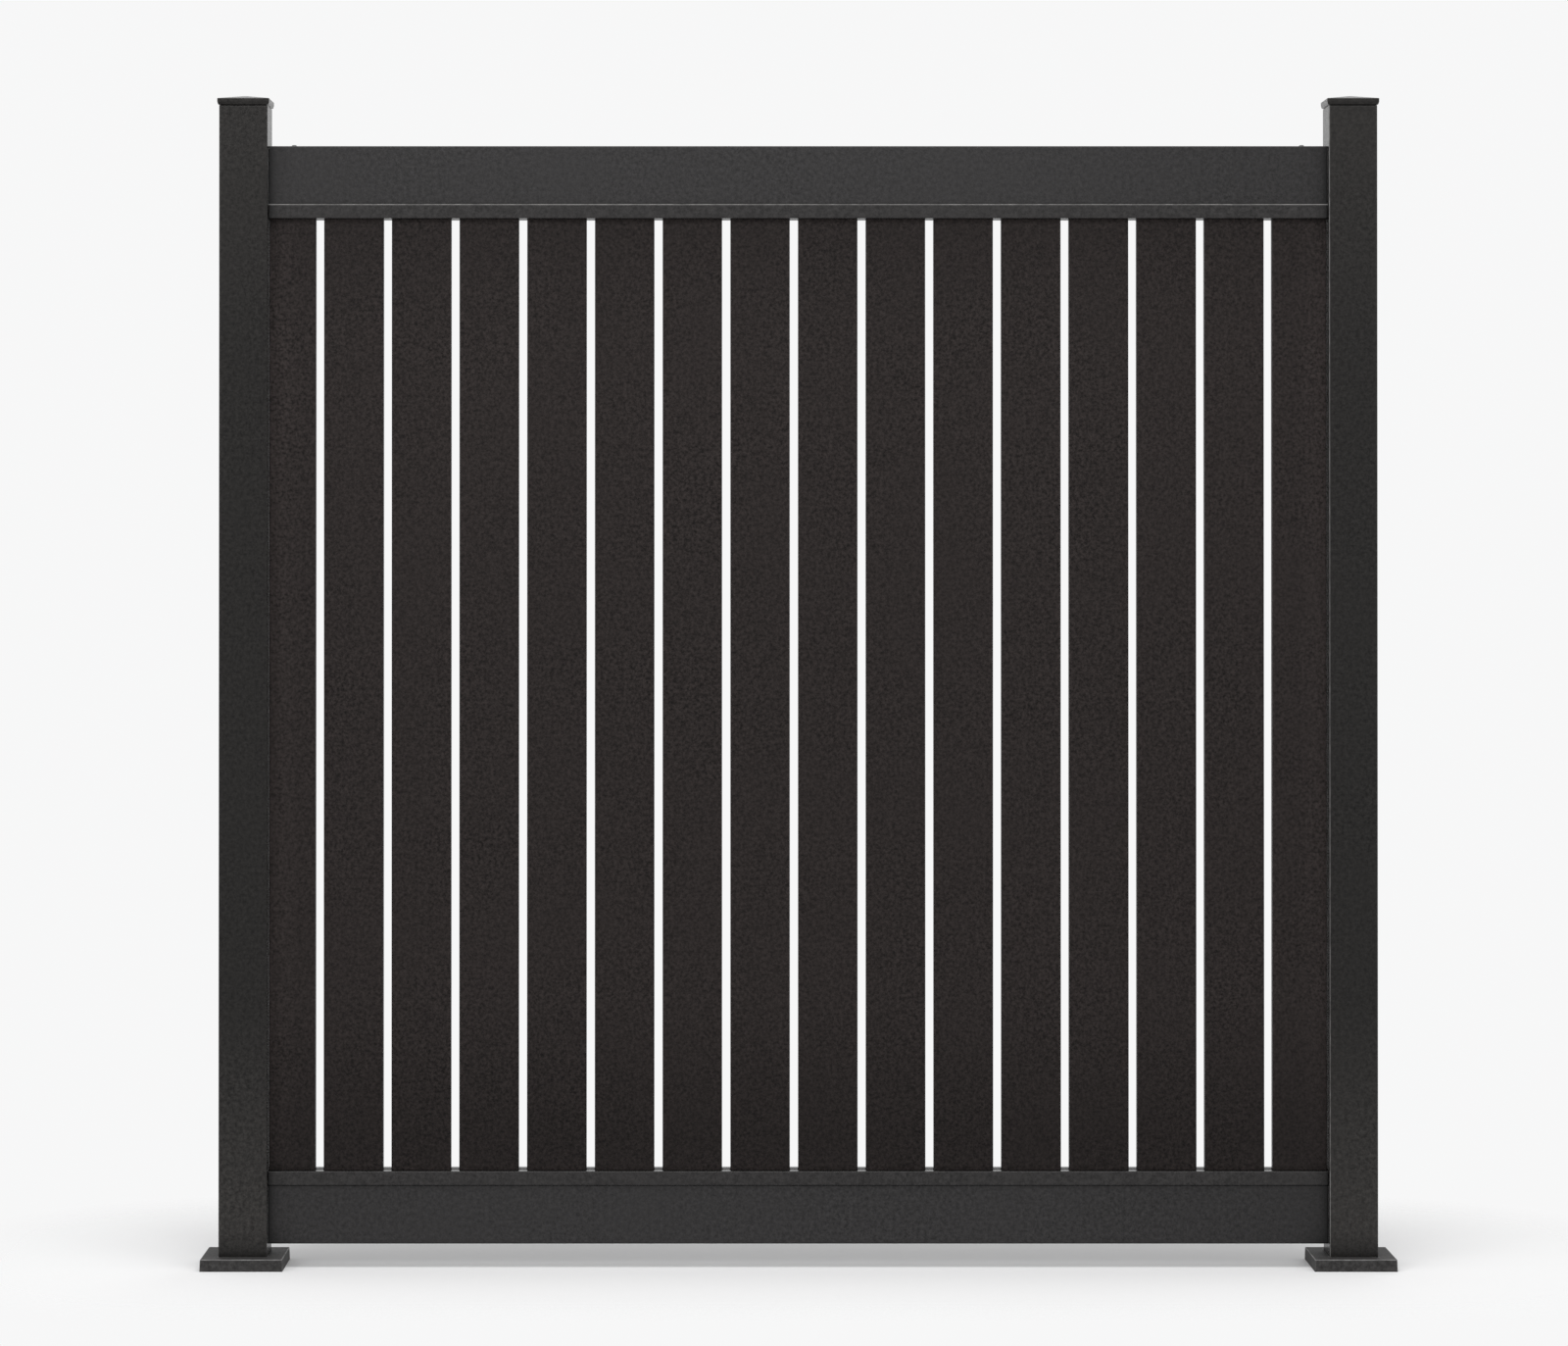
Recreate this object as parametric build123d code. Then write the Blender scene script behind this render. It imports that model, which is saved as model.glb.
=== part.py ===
from build123d import *
import math
import os

# Slatted privacy screen panel: two square posts on bolted base plates, two rails and a row of upright slats.
# Millimetres. The origin is the centre of the left base plate's underside, +X runs along the panel to the
# right post, +Y goes away from the front and +Z is up.

# Overall size
PANEL_WIDTH = 1828.8  # over the outer faces of the two posts
GROUND_CLEARANCE = 38.1  # under the bottom rail
RAIL_DROP = 63.1  # top of the post tubes down to the top rail

# Posts: square aluminium tube
POST_SIZE = 76.2
POST_WALL = 2.5
POST_CORNER = 1.6
POST_LENGTH = 1825.6

# Post caps: a lipped head on a neck that rests on the tube end, with a hollow spigot inside it
CAP_OVERHANG = 2.8
CAP_LIP = 1.4  # overhang of the flare's lower edge
CAP_NECK_HEIGHT = 1.5
CAP_NECK_INSET = 1.0  # inside the post's faces, which leaves a shadow line under the lip
CAP_FLARE_HEIGHT = 4.5
CAP_BAND_HEIGHT = 5.5
CAP_RISE = 6.4
CAP_PEAK_SIZE = 6.0  # small flat at the top of the shallow pyramid
CAP_EDGE = 0.8
CAP_TOP_THICKNESS = 3.0
CAP_SPIGOT_DEPTH = 20.0
CAP_SPIGOT_WALL = 2.0
CAP_FIT = 0.3

# Base plates, each with four anchor holes
PLATE_SIZE = 120.65
PLATE_THICKNESS = 9.525
PLATE_CORNER = 6.0
ANCHOR_SPACING = 95.25
ANCHOR_HOLE_DIAMETER = 11.1

# Base skirts: thin covers around the foot of each post, hiding the plate and its anchors
SKIRT_SIZE = 130.2
SKIRT_HEIGHT = 19.05
SKIRT_DRAFT = 2.0  # degrees
SKIRT_WALL = 2.4
SKIRT_EDGE = 1.2
SKIRT_FIT = 0.4

# Rails: rectangular tube between the posts
RAIL_DEPTH = 50.8
RAIL_HEIGHT = 101.6
RAIL_WALL = 2.0
RAIL_CORNER = 1.2
RAIL_END_GAP = 0.4

# Slat channels: an extrusion that grips a rail on one side and takes the slat ends on the other
CHANNEL_HEIGHT = 22.9
CHANNEL_WALL = 2.0
CHANNEL_WEB = 2.0
CHANNEL_CORNER = 1.0
CHANNEL_BEVEL = 1.6  # along the two edges that lie on the rail's faces
RAIL_SEAT = 10.1  # depth of the rail in its channel
RAIL_FIT = 0.15

# Slats: hollow extrusions with two inner webs
SLAT_WIDTH = 94.13
SLAT_THICKNESS = 19.05
SLAT_GAP = 13.2
SLAT_WALL = 1.5
SLAT_CORNER = 2.0
SLAT_CELLS = 3
SLAT_FIT = 0.3
SLAT_END_GAP = 1.5  # room for expansion above the slats
SLAT_POST_GAP = 0.8  # between an end slat's cut edge and the post
ROW_OFFSET = 6.35  # the row of gaps sits this far left of the panel's middle

# Spacers that fill the channels between the slats
SPACER_FIT = 0.25
SPACER_EDGE = 0.6

# Rail brackets: open-ended cups on the posts, inside the rail ends
BRACKET_LENGTH = 57.0
BRACKET_WALL = 3.0
BRACKET_FIT = 0.3

# Places that follow from the sizes above
post_pitch = PANEL_WIDTH - POST_SIZE
post_top = PLATE_THICKNESS + POST_LENGTH
clear_width = post_pitch - POST_SIZE
clear_left = POST_SIZE / 2
clear_right = clear_left + clear_width

rail_length = clear_width - 2 * RAIL_END_GAP
rail_left = clear_left + RAIL_END_GAP
rail_face = RAIL_HEIGHT + CHANNEL_HEIGHT - RAIL_SEAT
panel_top = post_top - RAIL_DROP
bottom_lip = GROUND_CLEARANCE + rail_face
top_lip = panel_top - rail_face

pocket_depth = CHANNEL_HEIGHT - RAIL_SEAT - CHANNEL_WEB
slat_bottom = bottom_lip - pocket_depth
slat_length = top_lip + pocket_depth - SLAT_END_GAP - slat_bottom
slat_pitch = SLAT_WIDTH + SLAT_GAP
gap_count = math.ceil((clear_width - SLAT_WIDTH) / slat_pitch)
first_gap = clear_left + clear_width / 2 - ROW_OFFSET - (gap_count - 1) * slat_pitch / 2


def save(shape, node):
    export_step(shape, f"parts/{node}.step")


def post(x):
    bore = POST_SIZE - 2 * POST_WALL
    section = RectangleRounded(POST_SIZE, POST_SIZE, POST_CORNER) - Rectangle(bore, bore)
    return extrude(Pos(x, 0, PLATE_THICKNESS) * section, POST_LENGTH)


def post_cap(x):
    """Flared lip, plain band and a shallow pyramid on a neck, hollow underneath, with a spigot in the tube."""
    lip_size = POST_SIZE + 2 * CAP_LIP
    rim_size = POST_SIZE + 2 * CAP_OVERHANG
    flare_angle = math.degrees(math.atan((CAP_OVERHANG - CAP_LIP) / CAP_FLARE_HEIGHT))
    band_top = CAP_FLARE_HEIGHT + CAP_BAND_HEIGHT
    peak_low = (rim_size - CAP_PEAK_SIZE) / 2
    peak_high = (rim_size + CAP_PEAK_SIZE) / 2
    upright = (Align.CENTER, Align.MIN, Align.CENTER)

    flare = extrude(Rectangle(lip_size, lip_size), CAP_FLARE_HEIGHT, taper=-flare_angle)
    band = extrude(Pos(0, 0, CAP_FLARE_HEIGHT) * Rectangle(rim_size, rim_size), CAP_BAND_HEIGHT)
    pyramid = Wedge(rim_size, CAP_RISE, rim_size, peak_low, peak_low, peak_high, peak_high, align=upright)
    head = flare + band + Pos(0, 0, band_top) * Rot(90, 0, 0) * pyramid
    outer_edges = head.edges().filter_by_position(Axis.Z, -CAP_EDGE / 2, band_top + CAP_EDGE / 2)
    head = fillet(outer_edges, CAP_EDGE)

    neck_size = POST_SIZE - 2 * CAP_NECK_INSET
    cap = Pos(0, 0, CAP_NECK_HEIGHT) * head + extrude(Rectangle(neck_size, neck_size), CAP_NECK_HEIGHT)
    spigot_size = POST_SIZE - 2 * (POST_WALL + CAP_FIT)
    cap += extrude(RectangleRounded(spigot_size, spigot_size, POST_CORNER), -CAP_SPIGOT_DEPTH)
    hollow_size = spigot_size - 2 * CAP_SPIGOT_WALL
    hollow_top = CAP_NECK_HEIGHT + band_top - CAP_TOP_THICKNESS
    hollow = Pos(0, 0, -CAP_SPIGOT_DEPTH) * Rectangle(hollow_size, hollow_size)
    cap -= extrude(hollow, CAP_SPIGOT_DEPTH + hollow_top)
    return Pos(x, 0, post_top) * cap


def base_plate(x):
    anchors = GridLocations(ANCHOR_SPACING, ANCHOR_SPACING, 2, 2) * Circle(ANCHOR_HOLE_DIAMETER / 2)
    section = RectangleRounded(PLATE_SIZE, PLATE_SIZE, PLATE_CORNER) - anchors
    return extrude(Pos(x, 0) * section, PLATE_THICKNESS)


def base_skirt(x):
    """Drafted cover with rounded edges, hollow from below and cut through for the post."""
    inside_size = SKIRT_SIZE - 2 * SKIRT_WALL
    opening = POST_SIZE + 2 * SKIRT_FIT
    cover = extrude(Rectangle(SKIRT_SIZE, SKIRT_SIZE), SKIRT_HEIGHT, taper=SKIRT_DRAFT)
    ground_edges = cover.faces().sort_by(Axis.Z)[0].edges()
    cover = fillet(cover.edges() - ground_edges, SKIRT_EDGE)
    cover -= extrude(Rectangle(inside_size, inside_size), SKIRT_HEIGHT - SKIRT_WALL, taper=SKIRT_DRAFT)
    cover -= extrude(RectangleRounded(opening, opening, POST_CORNER), SKIRT_HEIGHT)
    return Pos(x, 0) * cover


def rail(bottom):
    outside = RectangleRounded(RAIL_DEPTH, RAIL_HEIGHT, RAIL_CORNER)
    inside = RectangleRounded(RAIL_DEPTH - 2 * RAIL_WALL, RAIL_HEIGHT - 2 * RAIL_WALL, RAIL_CORNER / 2)
    section = Plane.YZ * Pos(0, RAIL_HEIGHT / 2) * (outside - inside)
    return Pos(rail_left, 0, bottom) * extrude(section, rail_length)


def channel_section():
    """Section of a slat channel, lip upwards, with its lip at zero height.

    The rail sits in the wide pocket below the web and the slats in the narrow one above it, with a closed
    hollow on each side of the slats.
    """
    rail_pocket = RAIL_DEPTH + 2 * RAIL_FIT
    slat_pocket = SLAT_THICKNESS + 2 * SLAT_FIT
    width = rail_pocket + 2 * CHANNEL_WALL
    hollow_width = (width - slat_pocket) / 2 - 2 * CHANNEL_WALL
    hollow_height = pocket_depth - CHANNEL_WALL
    hollow_middle = (slat_pocket + hollow_width) / 2 + CHANNEL_WALL

    section = Pos(0, -CHANNEL_HEIGHT / 2) * Rectangle(width, CHANNEL_HEIGHT)
    section = fillet(section.vertices().group_by(Axis.Y)[-1], CHANNEL_CORNER)
    section = chamfer(section.vertices().group_by(Axis.Y)[0], CHANNEL_BEVEL)
    section -= Pos(0, -CHANNEL_HEIGHT + RAIL_SEAT / 2) * Rectangle(rail_pocket, RAIL_SEAT)
    section -= Pos(0, -pocket_depth / 2) * Rectangle(slat_pocket, pocket_depth)
    for side in (-1, 1):
        hollow = Rectangle(hollow_width, hollow_height)
        section -= Pos(side * hollow_middle, -CHANNEL_WALL - hollow_height / 2) * hollow
    return section


def slat_channel(lip, faces_up):
    section = channel_section()
    if not faces_up:
        section = mirror(section, about=Plane.XZ)
    return Pos(rail_left, 0, lip) * extrude(Plane.YZ * section, rail_length)


def slat(number):
    """One slat, counted from the first gap; an end slat is cut to width, with the cut edge against the post."""
    left = first_gap + SLAT_GAP / 2 + (number - 1) * slat_pitch
    cell_width = (SLAT_WIDTH - (SLAT_CELLS + 1) * SLAT_WALL) / SLAT_CELLS
    cell = Rectangle(cell_width, SLAT_THICKNESS - 2 * SLAT_WALL)
    cells = GridLocations(cell_width + SLAT_WALL, 0, SLAT_CELLS, 1) * cell
    section = RectangleRounded(SLAT_WIDTH, SLAT_THICKNESS, SLAT_CORNER) - cells

    room = clear_width - 2 * SLAT_POST_GAP
    between_posts = Pos(clear_left + clear_width / 2, 0) * Rectangle(room, 2 * SLAT_THICKNESS)
    section = (Pos(left + SLAT_WIDTH / 2, 0) * section) & between_posts
    return extrude(Pos(0, 0, slat_bottom) * section, slat_length)


def spacers(lip, faces_up):
    """One filler for each gap, flush with the channel lip and seated on the web."""
    block = Box(SLAT_GAP - 2 * SPACER_FIT, SLAT_THICKNESS, pocket_depth)
    block = chamfer(block.edges().filter_by(Axis.Y).group_by(Axis.Z)[-1], SPACER_EDGE)
    turn = 0 if faces_up else 180
    middle = lip - pocket_depth / 2 if faces_up else lip + pocket_depth / 2
    row = []
    for number in range(gap_count):
        row.append(Pos(first_gap + number * slat_pitch, 0, middle) * Rot(turn, 0, 0) * block)
    return Compound(row)


def rail_bracket(on_left, rail_bottom):
    """Cup that is fixed to the post and fills the end of the rail tube."""
    depth = RAIL_DEPTH - 2 * (RAIL_WALL + BRACKET_FIT)
    height = RAIL_HEIGHT - 2 * (RAIL_WALL + BRACKET_FIT)
    cup = Box(BRACKET_LENGTH, depth, height, align=(Align.MIN, Align.CENTER, Align.CENTER))
    cup = offset(cup, -BRACKET_WALL, openings=cup.faces().sort_by(Axis.X)[-1])
    if not on_left:
        cup = mirror(cup, about=Plane.YZ)
    x = clear_left if on_left else clear_right
    return Pos(x, 0, rail_bottom + RAIL_HEIGHT / 2) * cup


os.makedirs("parts", exist_ok=True)

for side, x in (("left", 0), ("right", post_pitch)):
    save(post(x), f"{side}_post")
    save(post_cap(x), f"{side}_post_cap")
    save(base_plate(x), f"{side}_base_plate")
    save(base_skirt(x), f"{side}_base_skirt")

for level, rail_bottom, lip in (
    ("bottom", GROUND_CLEARANCE, bottom_lip),
    ("top", panel_top - RAIL_HEIGHT, top_lip),
):
    faces_up = level == "bottom"
    save(rail(rail_bottom), f"{level}_rail")
    save(slat_channel(lip, faces_up), f"{level}_slat_channel")
    save(spacers(lip, faces_up), f"{level}_spacers")
    save(rail_bracket(True, rail_bottom), f"{level}_left_bracket")
    save(rail_bracket(False, rail_bottom), f"{level}_right_bracket")

save(slat(0), "left_end_slat")
for number in range(1, gap_count):
    save(slat(number), f"slat_{number:02d}")
save(slat(gap_count), "right_end_slat")
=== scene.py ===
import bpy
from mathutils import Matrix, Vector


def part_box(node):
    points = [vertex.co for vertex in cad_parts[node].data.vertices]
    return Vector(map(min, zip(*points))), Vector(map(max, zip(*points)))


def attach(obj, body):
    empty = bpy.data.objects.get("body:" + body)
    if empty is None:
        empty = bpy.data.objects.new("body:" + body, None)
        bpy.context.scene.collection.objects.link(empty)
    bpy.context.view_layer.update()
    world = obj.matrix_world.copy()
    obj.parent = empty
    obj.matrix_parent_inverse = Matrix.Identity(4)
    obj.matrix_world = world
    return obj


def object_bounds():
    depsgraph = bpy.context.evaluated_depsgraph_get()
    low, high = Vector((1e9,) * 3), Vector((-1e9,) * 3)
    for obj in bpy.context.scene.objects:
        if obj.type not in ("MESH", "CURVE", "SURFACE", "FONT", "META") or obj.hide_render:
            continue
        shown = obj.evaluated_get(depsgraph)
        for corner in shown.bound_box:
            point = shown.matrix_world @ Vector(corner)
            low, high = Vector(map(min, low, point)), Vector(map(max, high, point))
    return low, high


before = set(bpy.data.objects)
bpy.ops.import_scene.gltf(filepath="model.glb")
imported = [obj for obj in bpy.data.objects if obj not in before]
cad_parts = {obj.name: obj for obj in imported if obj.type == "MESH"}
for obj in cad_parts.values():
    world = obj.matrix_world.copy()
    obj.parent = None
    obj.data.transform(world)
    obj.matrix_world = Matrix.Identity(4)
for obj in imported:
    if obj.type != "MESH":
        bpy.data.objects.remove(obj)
cad_box = [list(corner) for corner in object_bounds()]

import math

import bmesh
import bpy
from mathutils import Matrix, Vector

# Slatted privacy screen panel in a plain pale studio. Lengths are in metres, colours are linear.

# Camera: stands in front of the panel, looks along +Y and a little upwards
SENSOR_WIDTH = 36.0
LENS = 105.51
CAMERA_PLACE = (0.7645, -7.2909, 1.1678)
CAMERA_PITCH_DEG = 0.346
CAMERA_SHIFT = (0.0361, -0.11)

# Studio: the floor is whole over its core, a box given by half its size, and fades out around it
MIDDLE = Vector(((cad_box[0][0] + cad_box[1][0]) / 2, 0.0, (cad_box[0][2] + cad_box[1][2]) / 2))
BACKGROUND = (0.93, 0.931, 0.933, 1.0)
AMBIENT_LEVEL = 0.58
FLOOR_RADIUS = 6.0
FLOOR_SEGMENTS = 96
FLOOR_BEHIND = 0.12  # how far the floor's middle lies behind the panel
FLOOR_CORE = (0.90, 0.14, 0.0)
FLOOR_FADE = (0.0, 0.5)  # distance from the core
FLOOR_COLOUR = (0.94, 0.94, 0.943, 1.0)
FLOOR_ROUGHNESS = 0.9

# Powder coat: noise scales in spots per metre, and bumps as strength and depth
NOISE_BAND = (0.3, 0.7)  # where most values of a noise lie
GRAIN_STOPS = (0.34, 0.50, 0.66)
CLOUD_SCALE = 5.0
CLOUD_LIFT = 1.10
CLOUD_SHARE = 0.45
FINE_SCALE = 900.0
FINE_BAND = (0.25, 0.75)
ROUGHNESS_SWING = 0.07
FINE_BUMP = (0.35, 0.0004)
GRAIN_BUMP = (0.25, 0.0008)
POST_COLOUR = (0.0157, 0.0147, 0.0139)
# painted light: the posts' coat is paler towards the foot and the head by these factors
POST_PAINTED_ENDS = (2.0, 1.35)

# Painted highlights along the coat's edges: their colours, their width and the side that they face
EDGE_HIGHLIGHT_COLOUR = (0.185, 0.18, 0.175, 1.0)
PALE_HIGHLIGHT_COLOUR = (0.50, 0.495, 0.49, 1.0)
EDGE_RADIUS = 0.003
EDGE_TURN = (0.995, 0.86)  # cosine between the flat and the rounded normal, from no edge to a sharp one
EDGE_SLANT = (0.97, 0.75)  # largest part of a face's normal, from a square face to a slanted one
SHARP_SHARE = 0.7  # highlight of a sharp edge, against 1 on a slanted face
HIGHLIGHT_TURN = (-0.1, 0.5)  # cosine between the rounded normal and the lit side, from no highlight to all
HIGHLIGHT_PATCH_SCALE = 60.0
HIGHLIGHT_PATCH_BAND = (0.35, 0.65)
HIGHLIGHT_PATCH_SHARES = (0.45, 1.0)
UPWARD = (0.0, 0.0, 1.0)
LEFTWARD = (-1.0, 0.0, 0.0)

# Painted shade and light: its reach out of corners, and its zones at the two ends of an axis
PAINTED_CORNER_REACH = 0.05
PAINTED_CORNER_SPAN = (0.985, 0.62)  # open share of the surroundings, from a flat face to deep in a corner
PAINTED_END_ZONES = {"X": ((0.04, 0.45), (1.25, 1.7145)), "Z": ((0.06, 0.42), (1.45, 1.80))}

# Fasteners: domed heads with a cross recess, on the rails near the posts
SCREW_FROM_POST = 0.039
SCREW_RADIUS = 0.0046
SCREW_HEIGHT = 0.0036
SCREW_SEGMENTS = 32
SCREW_DOME = ((1.00, 0.00), (1.00, 0.22), (0.97, 0.42), (0.88, 0.66), (0.72, 0.86), (0.60, 0.94))
RECESS_DEPTH = 0.0019
RECESS_ARM = 0.0025
RECESS_CORE = 0.0009
RECESS_TAPER = 0.72
RECESS_SHARPNESS = 6
SMOOTH_ANGLE_DEG = 35.0


def add_node(tree, kind, sockets=None, **settings):
    """A new shader node with its settings made and its input sockets set or linked."""
    made = tree.nodes.new("ShaderNode" + kind)
    for name, value in settings.items():
        setattr(made, name, value)
    for name, value in (sockets or {}).items():
        if isinstance(value, bpy.types.NodeSocket):
            tree.links.new(value, made.inputs[name])
        else:
            made.inputs[name].default_value = value
    return made


def noise(tree, where, scale, detail=2.0, roughness=0.5):
    """Soft noise between 0 and 1, about 1 / scale metres from spot to spot."""
    sockets = {"Vector": where, "Scale": scale, "Detail": detail, "Roughness": roughness}
    return add_node(tree, "TexNoise", sockets).outputs["Fac"]


def remap(tree, value, span, target):
    """The value moved from one span onto another and held inside it."""
    sockets = {"Value": value, "From Min": span[0], "From Max": span[1]}
    sockets.update({"To Min": target[0], "To Max": target[1]})
    return add_node(tree, "MapRange", sockets).outputs["Result"]


def ramp(tree, value, stops):
    """Colours along a value: stops are (position, colour) pairs."""
    made = add_node(tree, "ValToRGB", {"Fac": value})
    elements = made.color_ramp.elements
    while len(elements) < len(stops):
        elements.new(0.5)
    for element, (position, colour) in zip(elements, stops):
        element.position = position
        element.color = colour
    return made.outputs["Color"]


def mix_colour(tree, share, first, second):
    """The first colour at share 0 and the second at share 1; the node's colour sockets go by number."""
    made = add_node(tree, "Mix", {0: share, 6: first, 7: second}, data_type="RGBA")
    return made.outputs[2]


def math_node(tree, operation, first, second):
    """The result of one operation on two values."""
    return add_node(tree, "Math", {0: first, 1: second}, operation=operation).outputs["Value"]


def vector_node(tree, operation, first, second=(0.0, 0.0, 0.0)):
    """The result of one operation on two vectors: a value for a dot product or a length, or a vector."""
    outputs = add_node(tree, "VectorMath", {0: first, 1: second}, operation=operation).outputs
    return outputs["Value"] if operation in ("DOT_PRODUCT", "LENGTH") else outputs["Vector"]


def bump_node(tree, height, bump, normal=None):
    """The normal turned by a height, with the bump's strength and depth, on top of another normal."""
    sockets = {"Strength": bump[0], "Distance": bump[1], "Height": height}
    if normal is not None:
        sockets["Normal"] = normal
    return add_node(tree, "Bump", sockets).outputs["Normal"]


def face_normal(tree):
    """The normal of the mesh, without bumps."""
    return add_node(tree, "NewGeometry").outputs["Normal"]


def normal_sizes(tree):
    """How far a face's normal lies along X, Y and Z, each from 0 to 1."""
    sizes = vector_node(tree, "ABSOLUTE", face_normal(tree))
    return add_node(tree, "SeparateXYZ", {"Vector": sizes}).outputs


def scaled(colour, factor):
    """A colour times a factor, opaque."""
    return tuple(channel * factor for channel in colour[:3]) + (1.0,)


def new_material(name):
    """A new material, its node tree and its principled shader."""
    material = bpy.data.materials.new(name)
    material.use_nodes = True
    tree = material.node_tree
    return material, tree, tree.nodes["Principled BSDF"]


def edge_share(tree, where, rounded, lit_side):
    """Share of the painted edge highlight: 0 on flat faces and up to 1 along outer edges, most where they
    face the lit side, with patches.
    """
    facing = vector_node(tree, "DOT_PRODUCT", rounded, face_normal(tree))
    sharp = remap(tree, facing, EDGE_TURN, (0.0, SHARP_SHARE))
    sizes = normal_sizes(tree)
    largest = math_node(tree, "MAXIMUM", math_node(tree, "MAXIMUM", sizes["X"], sizes["Y"]), sizes["Z"])
    slanted = remap(tree, largest, EDGE_SLANT, (0.0, 1.0))
    edge = math_node(tree, "MAXIMUM", sharp, slanted)
    turned = vector_node(tree, "DOT_PRODUCT", rounded, lit_side)
    lit_share = remap(tree, turned, HIGHLIGHT_TURN, (0.0, 1.0))
    patchy = remap(tree, noise(tree, where, HIGHLIGHT_PATCH_SCALE, detail=4.0), HIGHLIGHT_PATCH_BAND, HIGHLIGHT_PATCH_SHARES)
    return math_node(tree, "MULTIPLY", math_node(tree, "MULTIPLY", edge, lit_share), patchy)


def painted_corner_shading(tree, factor):
    """Painted shade deep in corners between pieces, and painted light where the factor is over 1: 1 in the
    open, running to the factor; side faces keep their tone.
    """
    clear = add_node(tree, "AmbientOcclusion", {"Distance": PAINTED_CORNER_REACH}, samples=8).outputs["AO"]
    deep = remap(tree, clear, PAINTED_CORNER_SPAN, (0.0, 1.0))
    not_sideways = remap(tree, normal_sizes(tree)["X"], (0.0, 1.0), (1.0, 0.0))
    share = math_node(tree, "MULTIPLY", deep, not_sideways)
    return remap(tree, share, (0.0, 1.0), (1.0, factor))


def painted_end_shading(tree, where, axis, ends):
    """Painted light and shade: 1 in the middle of an axis, running to the two factors in the zones at its
    low and high ends.
    """
    place = add_node(tree, "SeparateXYZ", {"Vector": where}).outputs[axis]
    low_zone, high_zone = PAINTED_END_ZONES[axis]
    low = remap(tree, place, low_zone, (ends[0], 1.0))
    high = remap(tree, place, high_zone, (1.0, ends[1]))
    return math_node(tree, "MULTIPLY", low, high)


def powder_coat(name, colour, grain_depth, roughness, specular, edge_lift, corner=1.0, ends=(1.0, 1.0),
                axis="Z", grain_scale=160.0, edge=EDGE_HIGHLIGHT_COLOUR, lit_side=UPWARD):
    """Powder coat: dark pinholes, pale grains, soft clouding, orange-peel bump and a painted highlight
    along its edges.

    In the corners between pieces the colour runs to the corner factor as painted shade, or as painted
    light for a factor over 1, and towards the two ends of an axis to the ends' factors as painted light
    and shade.
    """
    material, tree, shader = new_material(name)
    where = add_node(tree, "TexCoord").outputs["Object"]
    grain = noise(tree, where, grain_scale, detail=3.0, roughness=0.8)
    fine = noise(tree, where, FINE_SCALE, detail=3.0, roughness=0.6)
    cloud = noise(tree, where, CLOUD_SCALE, detail=3.0)
    rounded = add_node(tree, "Bevel", {"Radius": EDGE_RADIUS}, samples=6).outputs["Normal"]

    shades = [scaled(colour, factor) for factor in (1.0 - grain_depth, 1.0, 1.0 + grain_depth)]
    speckled = ramp(tree, grain, list(zip(GRAIN_STOPS, shades)))
    cloudy = remap(tree, cloud, NOISE_BAND, (0.0, CLOUD_SHARE))
    clouded = mix_colour(tree, cloudy, speckled, scaled(colour, CLOUD_LIFT))
    # painted light and shade towards the ends of an axis and in corners, multiplied into the colour
    tone = math_node(tree, "MULTIPLY", painted_end_shading(tree, where, axis, ends), painted_corner_shading(tree, corner))
    toned = add_node(tree, "VectorMath", {0: clouded, "Scale": tone}, operation="SCALE")
    # painted highlight along the edges, strongest on the lit side
    lift = math_node(tree, "MULTIPLY", edge_share(tree, where, rounded, lit_side), edge_lift)
    final = mix_colour(tree, lift, toned.outputs["Vector"], edge)
    tree.links.new(final, shader.inputs["Base Color"])

    rough = remap(tree, fine, FINE_BAND, (roughness - ROUGHNESS_SWING, roughness + ROUGHNESS_SWING))
    tree.links.new(rough, shader.inputs["Roughness"])
    shader.inputs["Specular IOR Level"].default_value = specular
    peel = bump_node(tree, fine, FINE_BUMP, rounded)
    tree.links.new(bump_node(tree, grain, GRAIN_BUMP, peel), shader.inputs["Normal"])
    return material


def moulded_plastic(name, colour):
    """Matt moulded plastic with a fine spark-eroded grain."""
    material, tree, shader = new_material(name)
    where = add_node(tree, "TexCoord").outputs["Object"]
    grain = noise(tree, where, scale=1100.0, detail=3.0, roughness=0.65)
    shades = (scaled(colour, 0.85), scaled(colour, 1.15))
    tree.links.new(ramp(tree, grain, list(zip(NOISE_BAND, shades))), shader.inputs["Base Color"])
    tree.links.new(remap(tree, grain, NOISE_BAND, (0.55, 0.7)), shader.inputs["Roughness"])
    shader.inputs["Specular IOR Level"].default_value = 0.3
    tree.links.new(bump_node(tree, grain, bump=(0.3, 0.0003)), shader.inputs["Normal"])
    return material


def mill_aluminium(name, colour):
    """Bare extruded aluminium with die lines along X."""
    material, tree, shader = new_material(name)
    where = add_node(tree, "TexCoord").outputs["Object"]
    stretched = add_node(tree, "Mapping", {"Vector": where, "Scale": (6.0, 900.0, 900.0)})
    lines = noise(tree, stretched.outputs["Vector"], scale=1.0, detail=3.0)
    shades = (scaled(colour, 0.85), scaled(colour, 1.05))
    tree.links.new(ramp(tree, lines, list(zip(NOISE_BAND, shades))), shader.inputs["Base Color"])
    tree.links.new(remap(tree, lines, NOISE_BAND, (0.3, 0.48)), shader.inputs["Roughness"])
    shader.inputs["Metallic"].default_value = 1.0
    tree.links.new(bump_node(tree, lines, bump=(0.2, 0.0002)), shader.inputs["Normal"])
    return material


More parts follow.
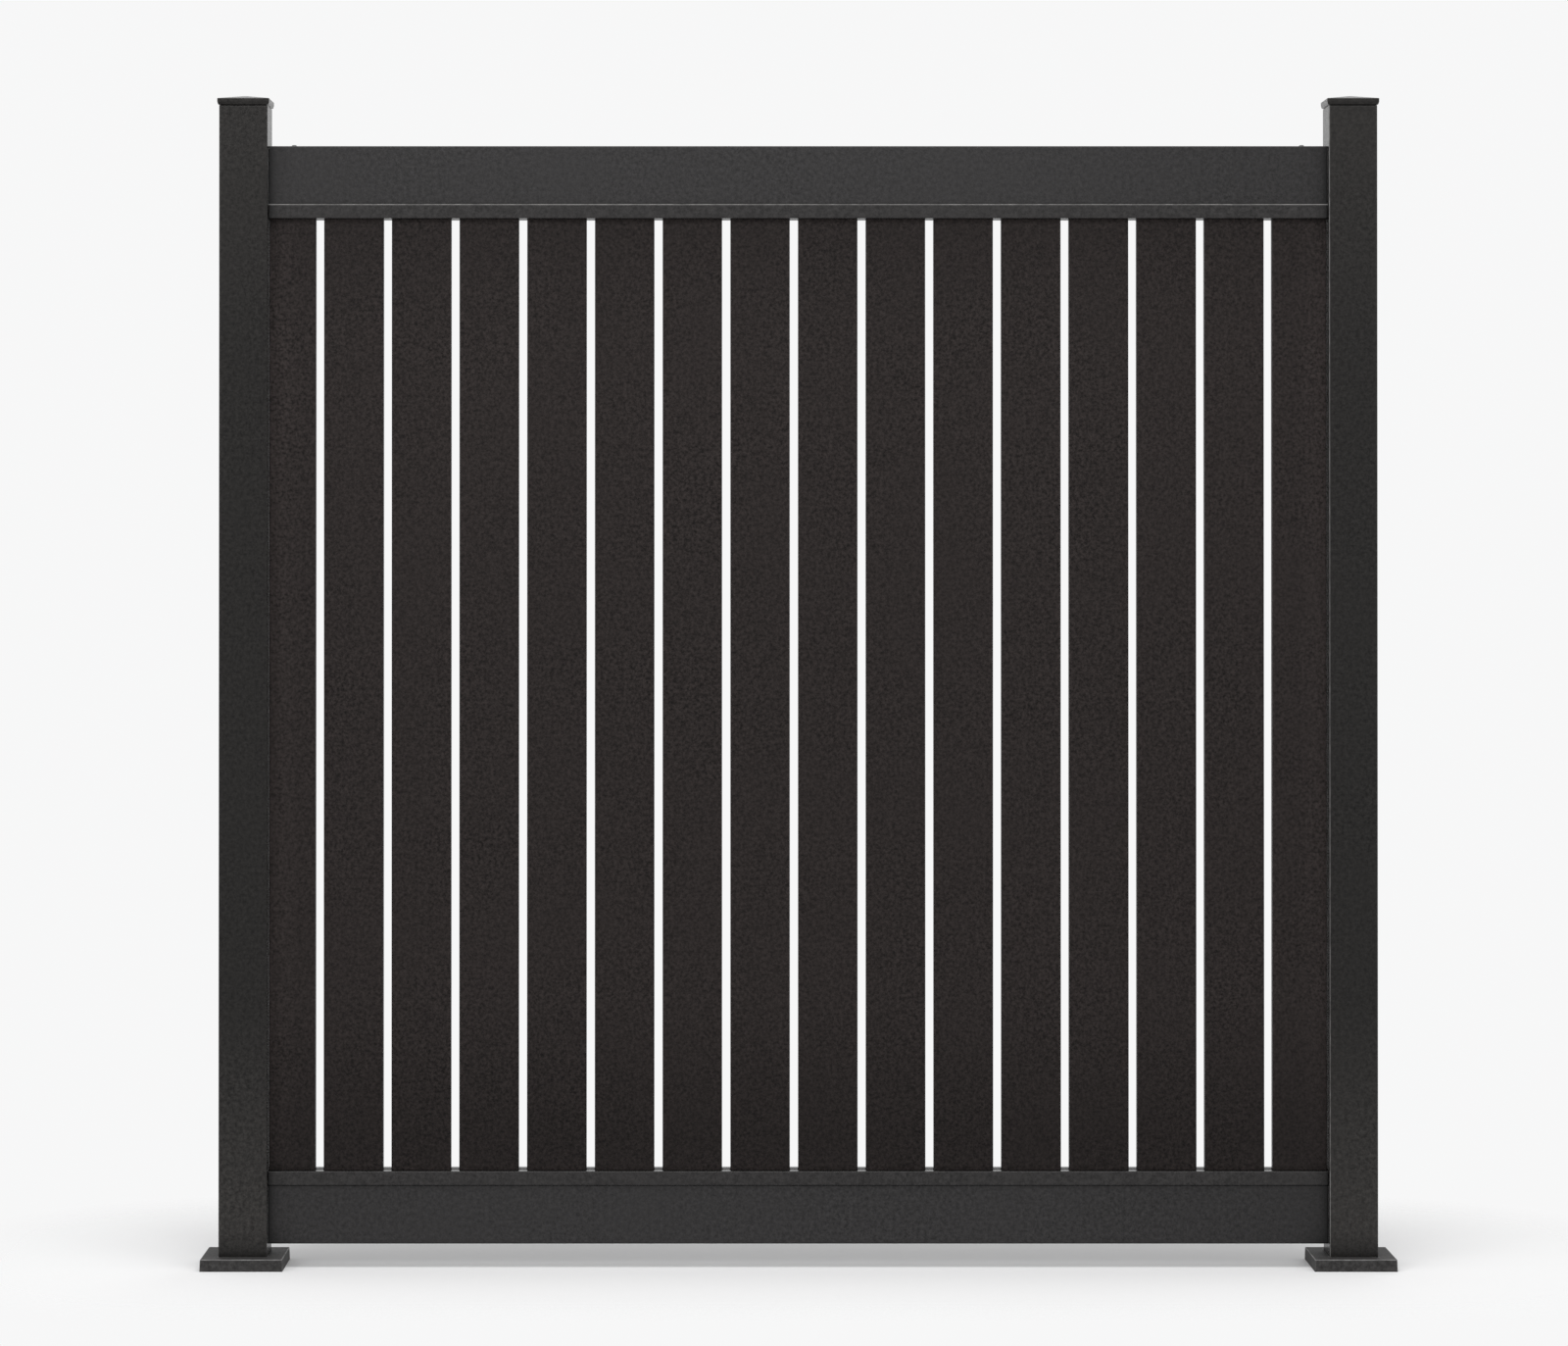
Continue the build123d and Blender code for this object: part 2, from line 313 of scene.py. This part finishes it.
def post_coat(name, edge_lift, edge=EDGE_HIGHLIGHT_COLOUR, lit_side=UPWARD):
    """The coat of a post, with painted light that makes it paler towards its foot and its head, painted
    shade in its corners and a painted highlight along its edges.
    """
    return powder_coat(name, POST_COLOUR, grain_depth=0.66, roughness=0.24, specular=0.14,
                       edge_lift=edge_lift, corner=0.46, ends=POST_PAINTED_ENDS, edge=edge, lit_side=lit_side)


def cap_coat():
    return powder_coat("cap_coat", (0.0171, 0.0160, 0.0151), grain_depth=0.66, roughness=0.24,
                       specular=0.14, edge_lift=0.20)


def plate_coat():
    return powder_coat("plate_coat", (0.0171, 0.0160, 0.0153), grain_depth=0.66, roughness=0.24,
                       specular=0.14, edge_lift=0.35)


def skirt_coat():
    """A duller, paler coat with a painted highlight on its upper edges."""
    return powder_coat("skirt_coat", (0.0414, 0.0398, 0.0394), grain_depth=0.60, roughness=0.55,
                       specular=0.07, edge_lift=0.95, edge=PALE_HIGHLIGHT_COLOUR)


def rail_coat():
    """The rails' coat, with painted shade towards the posts and in the corners between pieces."""
    return powder_coat("rail_coat", (0.0265, 0.0252, 0.0256), grain_depth=0.58, roughness=0.30,
                       specular=0.18, edge_lift=0.35, corner=0.145, ends=(0.93, 0.82), axis="X")


def channel_coat():
    """The top channel's coat, with a painted highlight on the ledge on the rail and painted shade in its
    corners.
    """
    return powder_coat("channel_coat", (0.0264, 0.0250, 0.0248), grain_depth=0.55, roughness=0.24,
                       specular=0.18, edge_lift=0.95, corner=0.145)


def sill_coat():
    """The bottom channel's coat, with a weaker painted highlight on its edges and painted shade in its
    corners.
    """
    return powder_coat("sill_coat", (0.0270, 0.0255, 0.0253), grain_depth=0.55, roughness=0.24,
                       specular=0.18, edge_lift=0.22, corner=0.145)


def slat_coat():
    """The slats' brown-black coat, with a finer grain, painted shade towards the feet and the heads, and
    painted light in the corners.
    """
    return powder_coat("slat_coat", (0.0212, 0.0173, 0.0165), grain_depth=0.76, roughness=0.42,
                       specular=0.08, edge_lift=0.15, corner=1.6, ends=(0.50, 0.76), grain_scale=190.0)


def screw_coat():
    return powder_coat("screw_coat", (0.030, 0.029, 0.029), grain_depth=0.3, roughness=0.42,
                       specular=0.4, edge_lift=0.5)


def dress_nodes():
    """Gives every CAD node the material of its kind: the first ending that fits its name counts."""
    kinds = (
        # the right post: a pale painted highlight along its edges that face left
        ("right_post", post_coat("post_coat_painted_highlight", edge_lift=0.62, edge=PALE_HIGHLIGHT_COLOUR, lit_side=LEFTWARD)),
        ("_post", post_coat("post_coat", edge_lift=0.35)),
        ("_cap", cap_coat()),
        ("_plate", plate_coat()),
        ("_skirt", skirt_coat()),
        ("_rail", rail_coat()),
        ("bottom_slat_channel", sill_coat()),
        ("_channel", channel_coat()),
        ("_spacers", moulded_plastic("spacer", (0.024, 0.023, 0.022))),
        ("_bracket", mill_aluminium("bracket", (0.62, 0.62, 0.62))),
        ("", slat_coat()),
    )
    for name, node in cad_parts.items():
        material = next(coat for ending, coat in kinds if name.endswith(ending))
        node.data.materials.clear()
        node.data.materials.append(material)


def recess_radius(angle):
    """Rim of the cross recess: four arms around a narrow core."""
    arm = abs(math.cos(2.0 * angle)) ** RECESS_SHARPNESS
    return RECESS_CORE + (RECESS_ARM - RECESS_CORE) * arm


def screw_rings():
    """Rings of points of a screw head, from its foot over the dome and down into the recess."""
    angles = [2.0 * math.pi * i / SCREW_SEGMENTS for i in range(SCREW_SEGMENTS)]
    rings = []
    for share, height in SCREW_DOME:
        radius = SCREW_RADIUS * share
        level = SCREW_HEIGHT * height
        rings.append([(radius * math.cos(a), radius * math.sin(a), level) for a in angles])
    for depth, shrink in ((0.0, 1.0), (RECESS_DEPTH, RECESS_TAPER)):
        ring = []
        for a in angles:
            radius = recess_radius(a) * shrink
            ring.append((radius * math.cos(a), radius * math.sin(a), SCREW_HEIGHT - depth))
        rings.append(ring)
    return rings


def screw_head(name, seat, turn, material):
    """A domed head with a cross recess, standing on its seat and turned about X."""
    mesh = bmesh.new()
    rings = [[mesh.verts.new(point) for point in ring] for ring in screw_rings()]
    for lower, upper in zip(rings, rings[1:]):
        for i in range(SCREW_SEGMENTS):
            j = (i + 1) % SCREW_SEGMENTS
            mesh.faces.new((lower[i], lower[j], upper[j], upper[i]))
    mesh.faces.new(rings[-1])
    mesh.faces.new(list(reversed(rings[0])))
    bmesh.ops.recalc_face_normals(mesh, faces=mesh.faces)
    data = bpy.data.meshes.new(name)
    mesh.to_mesh(data)
    mesh.free()
    for polygon in data.polygons:
        polygon.use_smooth = True
    data.set_sharp_from_angle(angle=math.radians(SMOOTH_ANGLE_DEG))
    data.materials.append(material)
    head = bpy.data.objects.new(name, data)
    bpy.context.scene.collection.objects.link(head)
    head.matrix_world = Matrix.Translation(Vector(seat)) @ Matrix.Rotation(turn, 4, "X")
    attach(head, "root")


def add_screws():
    """One screw near each post, in the top of the top rail and in the underside of the bottom rail."""
    coat = screw_coat()
    left_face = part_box("left_post")[1].x
    right_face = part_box("right_post")[0].x
    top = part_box("top_rail")[1].z
    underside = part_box("bottom_rail")[0].z
    places = (("left", left_face + SCREW_FROM_POST), ("right", right_face - SCREW_FROM_POST))
    for side, x in places:
        screw_head(f"top_{side}_screw", (x, 0.0, top), 0.0, coat)
        screw_head(f"bottom_{side}_screw", (x, 0.0, underside), math.pi, coat)


def floor_paper():
    """Pale matt paper that fades out around its core."""
    material, tree, shader = new_material("floor_paper")
    shader.inputs["Base Color"].default_value = FLOOR_COLOUR
    shader.inputs["Roughness"].default_value = FLOOR_ROUGHNESS
    shader.inputs["Specular IOR Level"].default_value = 0.0
    where = add_node(tree, "TexCoord").outputs["Object"]
    beyond = vector_node(tree, "SUBTRACT", vector_node(tree, "ABSOLUTE", where), FLOOR_CORE)
    outside = vector_node(tree, "MAXIMUM", beyond)
    share = remap(tree, vector_node(tree, "LENGTH", outside), FLOOR_FADE, (0.0, 1.0))
    clear = add_node(tree, "BsdfTransparent").outputs["BSDF"]
    blend = add_node(tree, "MixShader", {0: share, 1: shader.outputs["BSDF"], 2: clear})
    tree.links.new(blend.outputs["Shader"], tree.nodes["Material Output"].inputs["Surface"])
    return material


def add_floor():
    """A pale round floor that keeps the panel's shadow and fades into the background."""
    mesh = bmesh.new()
    bmesh.ops.create_circle(mesh, cap_ends=True, segments=FLOOR_SEGMENTS, radius=FLOOR_RADIUS)
    data = bpy.data.meshes.new("floor")
    mesh.to_mesh(data)
    mesh.free()
    data.materials.append(floor_paper())
    floor = bpy.data.objects.new("floor", data)
    floor.location = (MIDDLE.x, FLOOR_BEHIND, 0.0)
    bpy.context.scene.collection.objects.link(floor)


def add_world():
    """Near white where it is seen directly, in gloss or through something, and dimmer as light."""
    world = bpy.data.worlds.new("studio")
    world.use_nodes = True
    tree = world.node_tree
    path = add_node(tree, "LightPath").outputs
    seen = math_node(tree, "MAXIMUM", path["Is Camera Ray"], path["Is Glossy Ray"])
    shown = math_node(tree, "MAXIMUM", seen, path["Is Transmission Ray"])
    background = tree.nodes["Background"]
    background.inputs["Color"].default_value = BACKGROUND
    tree.links.new(remap(tree, shown, (0.0, 1.0), (AMBIENT_LEVEL, 1.0)), background.inputs["Strength"])
    bpy.context.scene.world = world


def add_lamp(name, place, target, size, power, mirrored=True):
    """A large soft panel of light that faces its target, mirrored in glossy faces or not."""
    data = bpy.data.lights.new(name, "AREA")
    data.shape = "RECTANGLE"
    data.size, data.size_y = size
    data.energy = power
    lamp = bpy.data.objects.new(name, data)
    lamp.visible_camera = False
    lamp.visible_glossy = mirrored
    lamp.location = place
    lamp.rotation_euler = (Vector(target) - Vector(place)).to_track_quat("-Z", "Y").to_euler()
    bpy.context.scene.collection.objects.link(lamp)


def add_lights():
    """Two lamps beside the camera, one above it, one over the panel and a weak one behind it."""
    below = (MIDDLE.x, -0.4, 0.0)
    add_lamp("left_light", (-2.9, -4.4, 2.4), MIDDLE, size=(1.8, 2.2), power=57.0)
    add_lamp("right_light", (4.4, -4.4, 2.4), MIDDLE, size=(1.8, 2.2), power=25.0)
    add_lamp("front_light", (0.6, -4.6, 3.8), MIDDLE, size=(3.2, 2.0), power=55.0)
    add_lamp("overhead_light", (MIDDLE.x, -0.8, 4.2), below, size=(3.6, 2.2), power=70.0)
    add_lamp("back_light", (2.4, 5.0, 2.8), MIDDLE, size=(2.6, 2.0), power=42.0, mirrored=False)


def add_camera():
    data = bpy.data.cameras.new("camera")
    data.sensor_fit = "HORIZONTAL"
    data.sensor_width = SENSOR_WIDTH
    data.lens = LENS
    data.shift_x, data.shift_y = CAMERA_SHIFT
    camera = bpy.data.objects.new("camera", data)
    camera.location = CAMERA_PLACE
    camera.rotation_euler = (math.radians(90.0 + CAMERA_PITCH_DEG), 0.0, 0.0)
    bpy.context.scene.collection.objects.link(camera)
    bpy.context.scene.camera = camera


add_camera()
add_world()
add_floor()
add_lights()
dress_nodes()
add_screws()
bpy.context.scene.view_settings.view_transform = "Standard"
